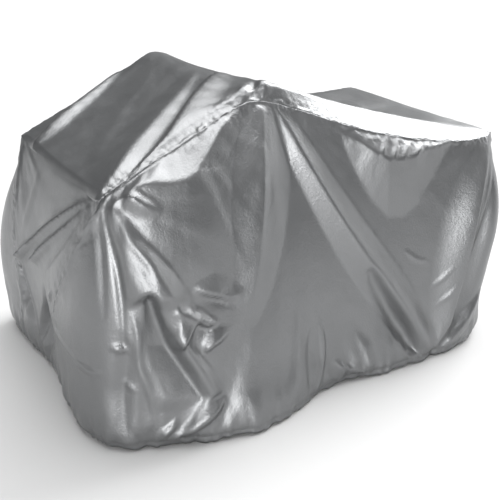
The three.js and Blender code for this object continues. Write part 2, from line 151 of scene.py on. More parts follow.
# The main folds. Places are [x, z] on the sides, [y, z] on the centre panel's ends and [x, y] on its roof
FOLDS = {"near": (
    fold("tyre crease", (46, 52), 0.4, (-790, 430, -4), (-782, 360, -15), (-792, 290, -21),
         (-804, 210, -20), (-797, 120, -14), (-788, 50, -6)),
    fold("footwell trough", (60, 150), 0.2, (-350, 470, -2), (-400, 340, -7), (-450, 210, -8),
         (-512, 60, -4)),
    fold("handlebar drop", (135, 110), (0.6, 0.8), (-172, 1066, 3), (-198, 980, 22), (-230, 862, 36),
         (-265, 739, 38), (-296, 618, 30), (-336, 493, 18), (-397, 368, 3)),
    fold("handlebar to rear tyre", (100, 84), (0.5, 0.9), (-122, 1040, 3), (-80, 945, 15), (-37, 844, 25),
         (44, 683, 35), (145, 512, 43), (253, 354, 45), (359, 199, 38), (455, 50, 16)),
    fold("trough under it", (44, 56), 0.4, (182, 424, -14), (222, 351, -30), (310, 200, -36),
         (388, 76, -26), (448, 22, -10)),
    fold("rear rack corner drop", (36, 150), (0.9, 0.4), (806, 812, 5), (738, 690, 26), (684, 560, 40),
         (634, 400, 42), (590, 250, 34), (545, 130, 20), (490, 50, 6)),
    fold("rear tyre groove", (70, 30), 0.5, (822, 740, -3), (756, 570, -14), (700, 400, -20),
         (652, 250, -20), (596, 120, -14), (512, 32, -5)),
), "far": (
    fold("rack corner to tyre", (60, 60), 0.4, (-765, 815, 6), (-740, 640, 24), (-720, 420, 18),
         (-730, 150, 6)),
    fold("rack corner to footwell", (70, 80), 0.4, (-750, 830, 6), (-640, 640, 24), (-500, 420, 26),
         (-400, 160, 8)),
    fold("handlebar drop", (70, 90), 0.3, (-210, 1020, 8), (-240, 780, 22), (-260, 480, 26),
         (-240, 160, 10)),
    fold("handlebar to rear tyre", (80, 110), 0.4, (-130, 1000, 8), (10, 760, 30), (200, 480, 36),
         (420, 120, 14)),
    fold("trough under it", (70, 60), 0.2, (-20, 560, -6), (100, 380, -24), (250, 160, -16)),
    fold("rear rack corner drop", (60, 60), 0.4, (800, 810, 6), (730, 620, 22), (640, 380, 22),
         (600, 120, 6)),
    fold("rear rack to tyre", (60, 60), 0.3, (560, 800, 4), (500, 600, 18), (480, 350, 16),
         (500, 120, 4)),
), "front": (
    fold("corner to lamp", (34, 40), 0.6, (-360, 820, 4), (-173, 709, 12), (24, 583, 16), (235, 436, 26),
         (262, 418, 0)),
    fold("corner to bumper", (34, 40), 0.6, (-374, 800, 4), (-224, 678, 12), (55, 484, 22), (80, 470, 0)),
    fold("hollow over the far tyre", (50, 60), 0.2, (250, 400, -4), (285, 240, -20), (350, 60, -10)),
    fold("hollow beside the corner seam", (50, 60), 0.2, (-20, 400, -4), (10, 240, -22), (60, 60, -10)),
    fold("far corner drop", (50, 50), 0.4, (400, 800, 4), (370, 600, 16), (340, 460, 10)),
), "rear": (
    fold("near corner drop", (60, 60), 0.4, (-400, 800, 4), (-330, 600, 18), (-220, 360, 22),
         (-160, 100, 6)),
    fold("far corner drop", (60, 60), 0.4, (400, 820, 4), (330, 640, 18), (250, 400, 20), (230, 120, 6)),
    fold("middle hollow", (110, 110), 0.1, (20, 760, -4), (10, 500, -18), (0, 250, -16), (0, 80, -6)),
), "roof": (
    fold("bar to corner, upper streak", (54, 170), 0.9, (-222, 4, 3), (-292, -58, 11), (-366, -120, 19),
         (-493, -222, 28), (-622, -324, 28), (-706, -384, 18), (-768, -418, 5)),
    fold("bar to corner, lower streak", (105, 34), (0.5, 0.9), (-224, -132, 20), (-290, -184, 32),
         (-360, -238, 34), (-440, -300, 26), (-510, -350, 18), (-590, -392, 10), (-670, -424, 3)),
    fold("seat hollow", (90, 90), 0.1, (20, 60, -6), (220, 80, -20), (420, 20, -6)),
)}

# The smaller creases, on top of the main folds
CREASES = {"near": (
    fold("thin crease of the nose", (12, 16), 0.8, (-785, 800, -2), (-796, 718, -6), (-812, 599, -6),
         (-825, 480, -2)),
    fold("crease beside it", (20, 16), 0.8, (-770, 760, -2), (-770, 646, -10), (-776, 543, -10),
         (-786, 400, -3)),
    fold("wrinkle at the tyre's foot", (9, 12), 0.9, (-776, 100, -1), (-770, 62, -8), (-760, 24, -10)),
    fold("wrinkle beside it", (12, 9), 0.9, (-720, 108, -1), (-724, 64, -8), (-716, 24, -10)),
    fold("fore edge of the arch", (26, 16), 0.8, (-752, 500, 2), (-744, 420, 8), (-750, 330, 6),
         (-729, 236, 11), (-716, 160, 7), (-712, 90, 2)),
    fold("pinch beside the tyre crease", (14, 22), 0.9, (-820, 392, 3), (-800, 384, 13), (-782, 376, 6)),
    fold("low pinch", (12, 18), 0.9, (-800, 262, 2), (-784, 250, 9), (-768, 232, 4)),
    fold("fore pinch", (14, 20), 0.9, (-905, 300, 2), (-880, 282, 9), (-856, 290, 3)),
    fold("thin crease off the shelf", (9, 9), 0.8, (-470, 912, -1), (-394, 909, -5), (-330, 908, -2)),
    fold("lower thin crease", (9, 9), 0.8, (-493, 891, -1), (-413, 890, -5), (-331, 895, -2)),
    fold("small crease", (8, 13), 0.9, (357, 474, 1), (380, 454, 5), (415, 428, 5), (473, 407, 1)),
    fold("ticks", (12, 14), 0.8, (470, 300, 1), (520, 330, 5), (575, 375, 1)),
    fold("lower ticks", (12, 14), 0.8, (500, 230, 1), (550, 262, 5), (590, 300, 1)),
    fold("facet by the rear tyre", (50, 22), 0.9, (748, 214, 4), (706, 168, 14), (640, 116, 17),
         (571, 66, 13), (510, 30, 5)),
    fold("first pleat under the rear seam", (10, 16), 1.0, (312, 904, 1), (292, 872, 6), (276, 850, 7),
         (262, 836, 1)),
    fold("second pleat", (10, 16), 1.0, (362, 890, 1), (342, 858, 7), (322, 834, 8), (306, 818, 1)),
    fold("third pleat", (12, 14), 1.0, (414, 876, 1), (392, 850, 6), (370, 830, 6), (352, 816, 1)),
    fold("fourth pleat", (9, 14), 1.0, (468, 866, 1), (452, 846, 7), (434, 832, 7), (418, 820, 1)),
    fold("fifth pleat", (9, 12), 1.0, (500, 860, 1), (484, 846, 5), (470, 836, 1)),
    fold("low upright crease", (16, 22), 0.8, (-60, 330, 1), (-40, 230, 8), (-45, 130, 9), (-75, 45, 4)),
    fold("low upright crease behind it", (40, 44), 0.4, (-150, 360, 1), (-165, 240, 6), (-190, 120, 7),
         (-215, 40, 3)),
    fold("low hollow", (40, 40), 0.4, (-95, 260, -2), (-110, 160, -9), (-130, 60, -6)),
    fold("low fold by the rear tyre", (34, 30), 0.7, (120, 200, 1), (150, 130, 8), (160, 60, 7)),
    fold("hem wedge", (20, 34), 0.9, (10, 116, 2), (70, 66, 13), (140, 34, 9)),
    fold("second hem wedge", (16, 26), 0.9, (-30, 80, 2), (0, 50, 9), (40, 26, 6)),
), "far": (
    fold("corner to tyre, sharp line", (26, 22), 0.8, (-760, 815, 2), (-738, 640, 9), (-722, 420, 8),
         (-730, 180, 2)),
    fold("corner to footwell, sharp line", (26, 26), 0.8, (-745, 825, 2), (-640, 640, 10),
         (-500, 420, 11), (-410, 180, 3)),
    fold("handlebar band edge", (26, 34), 0.7, (-205, 1010, 2), (-240, 780, 8), (-262, 480, 9),
         (-245, 180, 3)),
    fold("handlebar to rear tyre, sharp line", (24, 40), 0.9, (-130, 990, 2), (10, 760, 10),
         (200, 480, 13), (330, 260, 9), (415, 120, 3)),
    fold("deep pocket", (40, 26), 0.5, (0, 540, -2), (90, 400, -13), (180, 250, -14), (270, 90, -4)),
    fold("rear corner, sharp line", (26, 24), 0.8, (800, 805, 2), (730, 620, 9), (640, 380, 9),
         (600, 140, 2)),
    fold("rear rack, soft line", (30, 30), 0.5, (560, 790, 1), (500, 600, 8), (480, 350, 8),
         (500, 140, 1)),
    fold("pocket by the front tyre", (30, 30), 0.5, (-650, 400, -2), (-610, 280, -11), (-560, 160, -9),
         (-530, 60, -2)),
    fold("lower diamond", (20, 26), 0.7, (-460, 560, 1), (-420, 530, 8), (-370, 500, 7), (-330, 480, 1)),
    fold("pinch by the rear tyre", (22, 22), 0.6, (690, 300, -1), (670, 200, -8), (660, 80, -5)),
), "front": (
    fold("corner to lamp, sharp line", (14, 20), 0.9, (-352, 826, 1), (-173, 709, 6), (24, 583, 8),
         (235, 436, 11), (258, 420, 0)),
    fold("corner to bumper, sharp line", (14, 20), 0.9, (-372, 812, 1), (-224, 678, 6), (55, 484, 10),
         (76, 470, 0)),
    fold("corner groove", (14, 16), 0.6, (-377, 800, -1), (-275, 668, -6), (-141, 542, -5),
         (-60, 470, -1)),
    fold("lamp to hem", (26, 22), 0.7, (240, 412, 2), (212, 330, 8), (172, 240, 10), (134, 150, 7),
         (110, 60, 2)),
    fold("far pocket", (22, 22), 0.5, (378, 220, -2), (400, 150, -8), (424, 70, -3)),
    fold("bright facet", (22, 18), 0.7, (-150, 440, 1), (-120, 405, 9), (-90, 370, 1)),
    fold("upper soft line", (40, 40), 0.2, (150, 800, 1), (180, 660, 6), (230, 540, 2)),
), "rear": (
    fold("near corner, sharp line", (24, 26), 0.8, (-395, 795, 2), (-330, 600, 9), (-220, 360, 9),
         (-165, 120, 2)),
    fold("far corner, sharp line", (26, 24), 0.8, (395, 815, 2), (330, 640, 9), (250, 400, 9),
         (232, 140, 2)),
    fold("middle crease", (30, 34), 0.5, (-60, 700, 1), (-30, 500, 7), (30, 300, 7), (60, 120, 1)),
    fold("small cross crease", (12, 20), 0.8, (-160, 520, 1), (-80, 490, 6), (0, 475, 1)),
), "roof": (
    fold("between the bar and the far rack", (40, 44), 0.5, (-120, 330, 2), (40, 330, 8), (240, 360, 8),
         (440, 380, 2)),
    fold("near ridge line", (24, 34), 0.8, (-100, -345, 2), (60, -330, 8), (240, -332, 7), (440, -355, 5),
         (640, -388, 2)),
    fold("valley line", (40, 44), 0.4, (0, -230, -2), (160, -200, -8), (330, -190, -9), (520, -220, -3)),
    fold("rail beside the far edge", (44, 60), (1.0, 0.5), (-290, 448, 2), (-360, 430, 8),
         (-430, 402, 15), (-500, 372, 22), (-600, 334, 28), (-692, 298, 27), (-765, 272, 14)),
    fold("slope ripple", (50, 60), 0.5, (-300, 230, 1), (-430, 140, 3), (-560, 20, 4), (-690, -150, 2)),
)}

# Where the cloth lies in flat facets
NETS = {"near": (
    net("rack corner, arch and pocket behind the front tyre",
        ((-772, 836),) * 7,
        ((-769, 785), (-764, 788, 3), (-755, 790, 6), (-752, 789, 4), (-748, 790, 6), (-740, 791, 9),
         (-716, 796)),
        ((-764, 713), (-757, 716, 7), (-739, 717, 12), (-735, 717, 9), (-731, 716, 12), (-722, 715, 18),
         (-680, 715)),
        ((-765, 640), (-745, 636, 15), (-706, 635, 24), (-699, 634, 19), (-692, 634, 23), (-674, 632, 31),
         (-616, 625)),
        ((-768, 560), (-718, 563, 32), (-698, 568, 40), (-686, 558, 44), (-676, 543, 46), (-634, 540, 44),
         (-560, 522)),
        ((-760, 520), (-716, 528), (-701, 541, -10), (-690, 534, -14), (-668, 500, 28), (-620, 500, 34),
         (-545, 455)),
        ((-745, 395), (-720, 390, -8), (-690, 380, -20), (-652, 366, -26), (-617, 381, 28),
         (-600, 376, 26), (-570, 360)),
        ((-742, 289), (-705, 286, 2), (-665, 281, -4), (-606, 270, -16), (-568, 279, 26), (-550, 276, 24),
         (-510, 254)),
        ((-719, 207), (-680, 198, 10), (-630, 186, 6), (-556, 174, -4), (-522, 184, 24), (-510, 184, 22),
         (-480, 176)),
        ((-700, 150), (-660, 140), (-620, 136), (-560, 140), (-515, 165), (-500, 165), (-478, 160))),
    net("shelf under the front seam",
        ((-765, 846), (-738, 857), (-712, 868), (-676, 887), (-630, 908), (-560, 937), (-510, 955),
         (-460, 976), (-410, 1000), (-360, 1023), (-315, 1042), (-262, 1058)),
        ((-765, 838), (-742, 838, 28), (-704, 850, 38), (-674, 866, 42), (-628, 868, 45), (-563, 859, 46),
         (-516, 862, 48), (-480, 877, 45), (-438, 911, 36), (-408, 946, 30), (-363, 992, 20),
         (-262, 1052)),
        ((-768, 800), (-774, 640), (-765, 520), (-720, 470), (-650, 460), (-560, 480), (-450, 500),
         (-340, 560), (-260, 650), (-205, 770), (-190, 900), (-210, 1040))),
    net("wedge under the rack corner",
        ((-706, 862), (-674, 852), (-646, 828), (-622, 808), (-610, 790)),
        ((-716, 846, 10), (-692, 834, 27), (-664, 808, 22), (-640, 790, 12), (-622, 778)),
        ((-716, 800), (-692, 775), (-664, 765), (-640, 760), (-622, 768))),
    net("lower diamond behind the arch",
        ((-625, 525), (-612, 518), (-570, 500), (-533, 476), (-505, 445), (-478, 418)),
        ((-640, 490), (-606, 485, 16), (-577, 468, 30), (-550, 444, 38), (-524, 423, 32), (-478, 405)),
        ((-642, 470), (-610, 468, 14), (-566, 432, 28), (-548, 430, -4), (-522, 411, -6), (-482, 398)),
        ((-650, 400), (-632, 398, 20), (-612, 384, 34), (-596, 376, -2), (-545, 366), (-492, 378)),
        ((-640, 350), (-625, 352), (-606, 358), (-581, 356), (-531, 350), (-492, 360))),
    net("upper diamond",
        ((-552, 550), (-522, 562), (-470, 578), (-422, 550), (-366, 500)),
        ((-545, 541, 5), (-524, 526, 13), (-474, 503, 19), (-433, 483, 14), (-380, 470)),
        ((-540, 532), (-520, 517, -2), (-468, 494, -4), (-430, 474, -2), (-384, 464)),
        ((-522, 500), (-491, 468), (-452, 455), (-420, 448), (-392, 460))),
    net("third diamond",
        ((-548, 362), (-520, 383), (-497, 400), (-464, 400), (-430, 383)),
        ((-538, 345, 6), (-528, 340, 18), (-507, 350, 20), (-485, 357, 18), (-445, 362)),
        ((-535, 325), (-518, 325), (-500, 335, -2), (-478, 343), (-445, 350))),
    net("low shelf by the front tyre",
        ((-668, 46), (-650, 64), (-604, 104), (-566, 158), (-516, 178), (-478, 160)),
        ((-660, 34), (-640, 46, 14), (-594, 75, 23), (-545, 110, 26), (-508, 130, 24), (-480, 146, 6)),
        ((-655, 26), (-636, 34), (-590, 55), (-540, 85), (-500, 108), (-472, 135))),
    net("gathered ledge under the rear seam",
        ((110, 965), (180, 943), (246, 925), (313, 908), (383, 890), (454, 875), (528, 860), (640, 847)),
        ((125, 930), (186, 895, 18), (237, 854, 32), (291, 820, 42), (355, 814, 42), (415, 820, 36),
         (486, 837, 20), (600, 835)),
        ((130, 880), (180, 760), (225, 680), (290, 610), (360, 600), (430, 640), (500, 720), (600, 800))),
    net("tip of the low shelf",
        ((-708, 62), (-694, 82), (-640, 112)),
        ((-697, 44, 16), (-681, 70, 24), (-640, 102, 2)),
        ((-690, 36), (-670, 58), (-638, 94))),
), "front": (
    net("middle pocket",
        ((136, 118), (104, 192), (66, 264), (12, 330), (-52, 352), (-84, 300), (-86, 230)),
        ((116, 114, -12), (82, 184, -30), (48, 246, -40), (6, 300, -42), (-40, 318, -36), (-62, 284, -24),
         (-66, 226, -10)),
        ((112, 92), (90, 96), (62, 100), (28, 108), (-10, 120), (-40, 140), (-70, 170))),
    net("hollow under the lamp",
        ((300, 388), (250, 378), (210, 338), (184, 290), (160, 238), (144, 186)),
        ((298, 360, -10), (252, 350, -34), (224, 314, -40), (202, 270, -34), (180, 224, -24),
         (164, 180, -10)),
        ((300, 200), (270, 185), (244, 170), (222, 158), (200, 150), (180, 148))),
), "roof": (
    net("notch between the bar's two peaks",
        ((-260, -300), (-221, -300), (-186, -300), (-151, -300), (-112, -300)),
        ((-260, -336), (-221, -338, 10), (-186, -340, -16), (-148, -342, 10), (-108, -338)),
        ((-260, -352), (-221, -354, 6), (-186, -356, -10), (-148, -358, 6), (-108, -354)),
        ((-260, -374), (-221, -374), (-186, -376), (-148, -376), (-108, -374))),
)}
# How far the sharp creases of a net are rounded, and the steps round a place that do it
NET_SOFT = 4
NET_STEPS = ((0, 0), (1, 0), (-1, 0), (0, 1), (0, -1))

# How wide a fold still is where it has no height, as a share of its full width
TIP_WIDTH = 0.3
# Where folds and creases are whole: on a side, in knots from its corners and from its shoulder, and on
# the centre panel, in knots from its seams
SIDE_FOLDS_WHOLE = (0.7, 0.08)
SIDE_CREASES_WHOLE = (0.25, 0.06)
CENTRE_FOLDS_WHOLE = 0.9
CENTRE_CREASES_WHOLE = 0.3
# The share of a side's folds that is left at the hem, and the height where they are whole
HELD_BY_HEM = 0.4
FREE_OF_HEM = 90
# How far to either side, in knots, a plain form is looked at to tell which way it faces
FACING_STEP = 0.02

# Where the cloth is held up from inside, as peaks that small folds run out from: the place, how many
# folds turn round it, and their height
PEAKS = {
    "near": (((-143, 1090), 26, 2.6), ((-775, 860), 22, 3.2), ((850, 860), 20, 3.0)),
    "far": (((-190, 1100), 24, 4.0), ((-775, 860), 20, 3.0), ((850, 880), 20, 3.0)),
    "front": (((-430, 850), 34, 3.0), ((440, 850), 26, 2.6)),
    "rear": (((-440, 850), 26, 3.0), ((440, 870), 26, 3.0)),
    "roof": (((-170, -370), 26, 2.4), ((-190, 430), 22, 2.2), ((-780, -445), 26, 2.0)),
}
# How far from its peak a small fold is whole, and gone, and how long its bumps are
PEAK_RISE = 150
PEAK_END = 720
PEAK_RUN = 420
# The finer folds among them: how much closer they are, and their share
FINER = (2.3, 1.6, 1)
FINER_SHARE = 0.4
# How far round the rack edge, in knots, the small folds of an end give way to those of the roof
END_BLEND = 0.15

# The gathers of a seam: how far apart, how high, and where they are whole and gone, from the seam
SEAM_GATHERS = ((16, 2.8, 3, 20), (31, 2.2, 8, 36), (74, 1.4, 40, 160))
# How much longer than wide they are, the least share of them, and how slowly that share changes
GATHER_RUN = 5
GATHER_LEAST = 0.45
GATHER_CHANGE = (0.13, 0, 1)
# Their strength on the centre panel
CENTRE_GATHERS = 0.55
# A felled seam and the hem's casing in cross-section: height, middle and width of each bump
SEAM_LINE = ((-0.5, 0, 3), (0.3, 7, 4))
HEM_CASING = ((-3.2, 30, 5), (1.4, 16, 8))
# How far a seam wanders, over which distance, how much slower once more, and how far in that reaches
WANDER = 2.0
WANDER_PITCH = 14
WANDER_SLOWER = 4
WANDER_REACH = 90
# Over how many places to either side the direction of a seam is evened out
SEAM_EVENED = 3
# How far from a seam the cloth is free to fold, and how far from a corner the hem is gathered
FREE_OF_SEAM = 30
CASING_START = 12

# The gathers over the hem: how far apart, how high, and the heights between which they fade
HEM_GATHERS = ((17, 4.0, 30, 80), (38, 8.0, 50, 170), (85, 8.0, 100, 320))
HEM_GATHER_RUN = 4.5

# The crumple of the crisp cloth: how far apart its creases are, and how high
CRUMPLE = ((150, 1.2), (64, 0.5), (30, 0.25))
CRUMPLE_RUN = 1.7
# How far the creases are bent and over which distance
CRUMPLE_BEND = 18
CRUMPLE_BEND_PITCH = 90
# The patches with less of it: their size, how sudden their edges are, and the share left in them
CRUMPLE_PATCH = 260
CRUMPLE_PATCH_EDGE = 1.3
CRUMPLE_LEAST = 0.35

# Noise: its size, the length of its tables, and the place of each flat pattern in it
NOISE_GAIN = 1.7
NOISE_TABLE = 256
PEAK_SLICE = 3.7
GATHER_SLICE = 0.5
# Ridges: how sharp, how deep between them, and how slowly and how suddenly they turn into troughs
RIDGE_GAIN = 3.2
RIDGE_FLOOR = -0.6
RIDGE_TURN = 0.45
RIDGE_TURN_EDGE = 1.4

# The seed of every pattern. Both panels at a seam share the seed of its gathers
SEAM_SEEDS = {"near": 200, "far": 300}
PEAK_SEEDS = {"near": 230, "far": 330, "front": 130, "rear": 140, "roof": 150}
CRUMPLE_SEEDS = {"near": 240, "far": 340, "centre": 160}
HEM_SEED = 60
WANDER_SEED = 81

# The sheets' grids: the lines beside an edge, the cloth's length from seam to hem, along the seam and
# across the roof, the steps along and across, the band at the hem, and the rows above it and in it
FINE_EDGE = (0, 2.5, 5.5, 9, 13.5, 19, 26, 34)
DROP = 880
TOP_RUN = 1760
ROOF_RUN = 900
STEP_ALONG = 5.5
STEP_ACROSS = 15.5
HEM_BAND = 60
DROP_ROWS = 92
HEM_ROWS = 11


def srgb(colour):
    """A hex colour as the linear values that Blender works in."""
    parts = [int(colour[i:i + 2], 16) / 255 for i in (1, 3, 5)]
    return [c / 12.92 if c <= 0.04045 else ((c + 0.055) / 1.055) ** 2.4 for c in parts]


def smooth(f):
    """A soft step from 0 to 1 as f goes from 0 to 1."""
    c = np.clip(f, 0, 1)
    return c * c * (3 - 2 * c)


def fading(d, start, end):
    """1 up to start, and softly down to 0 at end."""
    return 1 - smooth((d - start) / (end - start))


def bumps(profile, d):
    """The height of a cross-section of soft bumps at d."""
    return sum(height * np.exp(-((d - middle) / width) ** 2) for height, middle, width in profile)


def noise(points, seed):
    """Smooth 3-D gradient noise, about -1 to 1, whose bumps are one unit apart."""
    draw = np.random.default_rng(seed)
    table = draw.permutation(NOISE_TABLE)
    slopes = draw.normal(size=(NOISE_TABLE, 3))
    slopes /= np.linalg.norm(slopes, axis=1, keepdims=True)
    base = np.floor(points).astype(int)
    inside = points - base
    ease = inside ** 3 * (inside * (inside * 6 - 15) + 10)
    total = np.zeros(points.shape[:-1])
    for corner in np.ndindex(2, 2, 2):
        cell = (base + corner) % NOISE_TABLE
        pick = table[cell[..., 0]]
        for axis in (1, 2):
            pick = table[(pick + cell[..., axis]) % NOISE_TABLE]
        dot = ((inside - corner) * slopes[pick]).sum(axis=-1)
        share = np.where(np.array(corner) == 1, ease, 1 - ease).prod(axis=-1)
        total += dot * share
    return total * NOISE_GAIN


def drift(points, seed):
    """Three noises at once, as a move in any direction."""
    return np.stack([noise(points, seed + k) for k in range(3)], axis=-1)


def ridged(points, seed):
    """Noise with sharp creases, about -1 to 1, that slowly turn from ridges into troughs."""
    ridges = 1 - RIDGE_GAIN * np.abs(noise(points, seed))
    turn = smooth(0.5 + RIDGE_TURN_EDGE * noise(points * RIDGE_TURN, seed + 1)) * 2 - 1
    return np.clip(ridges, RIDGE_FLOOR, 1) * turn


def rounded_weights(count, places, softness):
    """How much each knot counts at each place on a polyline whose corners are parabolas."""
    places = np.asarray(places, float)
    softness = np.asarray(softness, float)
    last = count - 1
    nearest = np.clip(np.rint(places).astype(int), 0, last)
    reach = np.where((nearest > 0) & (nearest < last), softness[nearest], 0.0)
    off = places - nearest
    bend = np.abs(off) < reach
    weights = np.zeros((len(places), count))
    line = np.arange(len(places))
    span = np.clip(np.floor(places).astype(int), 0, last - 1)
    f = places - span
    weights[line, span] = np.where(bend, 0, 1 - f)
    weights[line, span + 1] = np.where(bend, 0, f)
    r = reach[bend]
    g = (off[bend] + r) / (2 * r)
    line, k = line[bend], nearest[bend]
    weights[line, k - 1] = (1 - g) ** 2 * r
    weights[line, k] = ((1 - g) ** 2 + g ** 2) * (1 - r) + 2 * g * (1 - g)
    weights[line, k + 1] = g ** 2 * r
    return weights


def skirt_knots(section, side):
    """A skirt's four knots from the shoulder seam to the hem."""
    (y, z), _, *skirt = section[side]
    x = section["x"][0 if side == "near" else 1]
    below = [(sx, sy, z + (HEM_HEIGHT - z) * (i + 1) / LEVELS) for i, (sx, sy) in enumerate(skirt)]
    return [(x, y, z), *below]


def roof_knots(section):
    """The roof's seven knots across one section."""
    near, far = section["near"], section["far"]
    across = [near[0], near[1], *zip(INNER_COLUMNS, section["roof"]), far[1], far[0]]
    width = far[0][0] - near[0][0]
    x0, x1 = section["x"]
    return [(x0 + (x1 - x0) * (y - near[0][0]) / width, y, z) for y, z in across]


def end_rows(section, inner):
    """The rows of the centre panel's knots down one end, from the rack edge to the hem."""
    near, far = skirt_knots(section, "near"), skirt_knots(section, "far")
    rows = []
    for level, columns in enumerate(inner, start=1):
        step = (far[level][2] - near[level][2]) / (len(columns) + 1)
        between = [(x, y, near[level][2] + step * (c + 1)) for c, (x, y) in enumerate(columns)]
        rows.append([near[level], *between, far[level]])
    return rows


CENTRE_KNOTS = np.array([
    *reversed(end_rows(SECTIONS[0], FRONT_END)),
    *(roof_knots(section) for section in SECTIONS),
    *end_rows(SECTIONS[LAST], REAR_END),
], float)
SIDE_KNOTS = {side: np.array([skirt_knots(section, side) for section in SECTIONS], float)
              for side in ("near", "far")}
SPANS_ACROSS = CENTRE_KNOTS.shape[1] - 1
TOP_ROWS = LEVELS + LAST


def row_softness(column):
    """How softly the centre panel bends over each row of knots, at one column."""
    softness = np.full(len(CENTRE_KNOTS), SOFT)
    inward = min(1, column, SPANS_ACROSS - column)
    for k, section in enumerate(SECTIONS):
        at_edge = k in (0, LAST)
        softness[LEVELS + k] = section["round"] * (inward if at_edge else 1)
    return softness


def rounded_sheet(knots, along, rows_soft, across, columns_soft):
    """A sheet over a grid of knots that bends softly over them both ways."""
    columns = [rounded_weights(len(knots), along, softness) @ knots[:, c]
               for c, softness in enumerate(rows_soft)]
    weights = rounded_weights(len(columns), across, columns_soft)
    return np.einsum("mc,cnx->nmx", weights, np.array(columns))


def plain_centre(along, across):
    """The centre panel's plain form, before its folds."""
    return rounded_sheet(CENTRE_KNOTS, along, [row_softness(c) for c in range(SPANS_ACROSS + 1)],
                         across, [SOFT, RIDGE_SOFTNESS, SOFT, SOFT, SOFT, RIDGE_SOFTNESS, SOFT])


def plain_side(side, station, level):
    """A side panel's plain form, before its folds."""
    rows_soft = [[section["round"] for section in SECTIONS], *[[SOFT] * len(SECTIONS)] * LEVELS]
    return rounded_sheet(SIDE_KNOTS[side], station, rows_soft, level, [SOFT] * (LEVELS + 1))


def splined(path, pieces=7):
    """The path with its corners rounded: points of a spline through the given ones."""
    knots = np.array([path[0], *path, path[-1]], float)
    points = []
    for a, b, c, d in zip(knots, knots[1:], knots[2:], knots[3:]):
        for f in np.arange(pieces) / pieces:
            points.append(0.5 * (2 * b + (c - a) * f + (2 * a - 5 * b + 4 * c - d) * f ** 2
                                 + (3 * b - 3 * c + d - a) * f ** 3))
    return np.array([*points, knots[-1]])


def in_reach(places, reach, a, b):
    """Which of the places (a, b) are in the box round the given ones, a reach larger."""
    low, high = places.min(axis=0) - reach, places.max(axis=0) + reach
    return (a > low[0]) & (a < high[0]) & (b > low[1]) & (b < high[1])


def fold_height(folds, a, b):
    """The height that a group of folds adds at the places (a, b)."""
    total = np.zeros(a.shape)
    for entry in folds:
        path, widths = splined(entry["path"]), entry["widths"]
        near = in_reach(path[:, :2], max(widths), a, b)
        if not near.any():
            continue
        pa, pb = a[near], b[near]
        best = np.full(pa.shape, np.inf)
        height = np.zeros(pa.shape)
        left = np.zeros(pa.shape, bool)
        for (ax, ay, ah), (bx, by, bh) in zip(path, path[1:]):
            dx, dy = bx - ax, by - ay
            if dx == dy == 0:
                continue
            px, py = pa - ax, pb - ay
            f = np.clip((px * dx + py * dy) / (dx * dx + dy * dy), 0, 1)
            off = np.hypot(px - f * dx, py - f * dy)
            closer = off < best
            best = np.where(closer, off, best)
            height = np.where(closer, ah + (bh - ah) * f, height)
            left = np.where(closer, dx * py - dy * px > 0, left)
        tallest = np.abs(path[:, 2]).max()
        narrower = TIP_WIDTH + (1 - TIP_WIDTH) * abs(height) / tallest
        q = best / (np.where(left, *widths) * narrower)
        soft = 0.5 + 0.5 * np.cos(np.pi * np.minimum(q, 1))
        sharp = np.maximum(0, 1 - q)
        crisp = np.where(left, *np.broadcast_to(entry["crisp"], 2))
        total[near] += height * (soft + (sharp - soft) * crisp)
    return total


def facet_height(corners, a, b):
    """The height of one flat facet at the places (a, b), and where it lies."""
    (ax, ay, ah), (bx, by, bh), (cx, cy, ch) = corners
    area = (bx - ax) * (cy - ay) - (cx - ax) * (by - ay)
    if area == 0:
        return 0 * a, np.zeros(a.shape, bool)
    f = ((a - ax) * (cy - ay) - (cx - ax) * (b - ay)) / area
    g = ((bx - ax) * (b - ay) - (a - ax) * (by - ay)) / area
    return ah + (bh - ah) * f + (ch - ah) * g, (f >= 0) & (g >= 0) & (f + g <= 1)


def net_height(nets, a, b):
    """The height that nets of facets add at the places (a, b)."""
    total = np.zeros(a.shape)
    for entry in nets:
        rows = entry["rows"]
        near = in_reach(rows[..., :2].reshape(-1, 2), NET_SOFT, a, b)
        for da, db in NET_STEPS:
            pa, pb = a[near] + NET_SOFT * da, b[near] + NET_SOFT * db
            height = np.zeros(pa.shape)
            for upper, lower in zip(rows, rows[1:]):
                for p, q, r, s in zip(upper, upper[1:], lower, lower[1:]):
                    for corners in ((p, q, r), (q, s, r)):
                        level, inside = facet_height(corners, pa, pb)
                        height = np.where(inside, level, height)
            total[near] += height / len(NET_STEPS)
    return total


def relief(group, a, b, fold_share, crease_share):
    """The height of a group's main folds, creases and facets at the places (a, b)."""
    fine = fold_height(CREASES[group], a, b) + net_height(NETS.get(group, ()), a, b)
    return fold_share * fold_height(FOLDS[group], a, b) + crease_share * fine


def peak_folds(group, a, b):
    """Small folds that run out from the places that hold the cloth up."""
    total = np.zeros(a.shape)
    for k, ((pa, pb), turns, height) in enumerate(PEAKS[group]):
        away = np.hypot(a - pa, b - pb)
        turn = np.arctan2(b - pb, a - pa)
        reach = smooth(away / PEAK_RISE) * fading(away, PEAK_RISE, PEAK_END)
        round_peak = turn * turns / (2 * np.pi)
        spot = np.stack(np.broadcast_arrays(round_peak, away / PEAK_RUN, PEAK_SLICE), axis=-1)
        seed = PEAK_SEEDS[group] + k
        total += reach * height * (noise(spot, seed) + FINER_SHARE * noise(spot * FINER, seed + 20))
    return total


